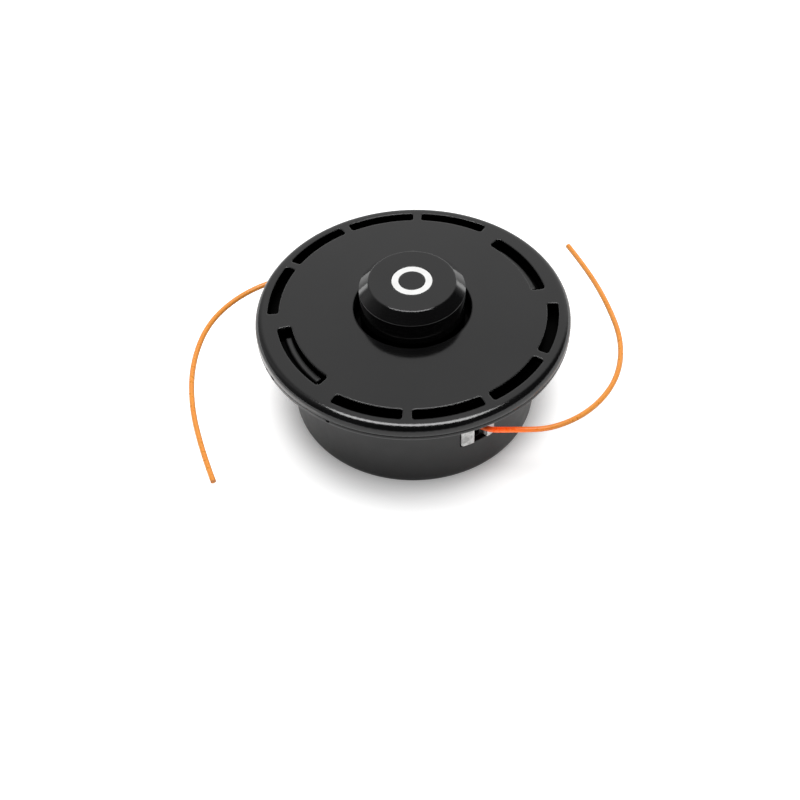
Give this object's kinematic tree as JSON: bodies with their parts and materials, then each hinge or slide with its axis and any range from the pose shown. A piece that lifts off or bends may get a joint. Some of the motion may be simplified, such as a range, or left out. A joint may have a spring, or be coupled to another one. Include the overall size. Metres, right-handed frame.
{
  "type": "bump feed trimmer head",
  "caption": "Round line trimmer head with a slotted cover, a sprung bump knob, an inner spool and free line ends from eyelets in its drum.",
  "frame": {"origin": "on the head's axis at the base face of the drum, which stands on the table", "axes": "+Z along the axis from the machine side to the bump knob, -Y towards the front line outlet's side"},
  "size_m": [0.1847, 0.1352, 0.0674],
  "materials": {
    "shell_plastic": "semi-gloss black",
    "knob_plastic": "gloss black",
    "spool_plastic": "matt black",
    "white_plastic": "plain white",
    "orange_line": "translucent orange",
    "bright_steel": "bright plated",
    "plain_steel": "turned",
    "spring_steel": "drawn wire"
  },
  "bodies": {
    "head": {"housing": "shell_plastic", "cover": "shell_plastic", "eyelet_front": "bright_steel", "eyelet_back": "bright_steel", "arbor_insert": "plain_steel", "arbor_washer": "plain_steel", "insert_clip": "spring_steel", "spring_washer": "plain_steel", "line_right": "orange_line", "line_left": "orange_line"},
    "spring_seat": {"thrust_washer": "plain_steel", "return_spring": "spring_steel"},
    "spool_group": {"spool": "spool_plastic", "line_winding": "orange_line", "bump_knob": "knob_plastic", "knob_ring": "white_plastic"}
  },
  "joints": [
    {"name": "bump_press", "type": "slide", "parent": "head", "child": "spring_seat", "axis": [0, 0, 1], "range_m": [-0.006, 0], "stiffness_N_per_m": 1500, "springref_m": 0.006, "deforming": ["return_spring"]},
    {"name": "spool_turn", "type": "hinge", "parent": "spring_seat", "child": "spool_group", "pos_m": [0, 0, 0.03], "axis": [0, 0, 1], "range_deg": [-30, 0]}
  ]
}
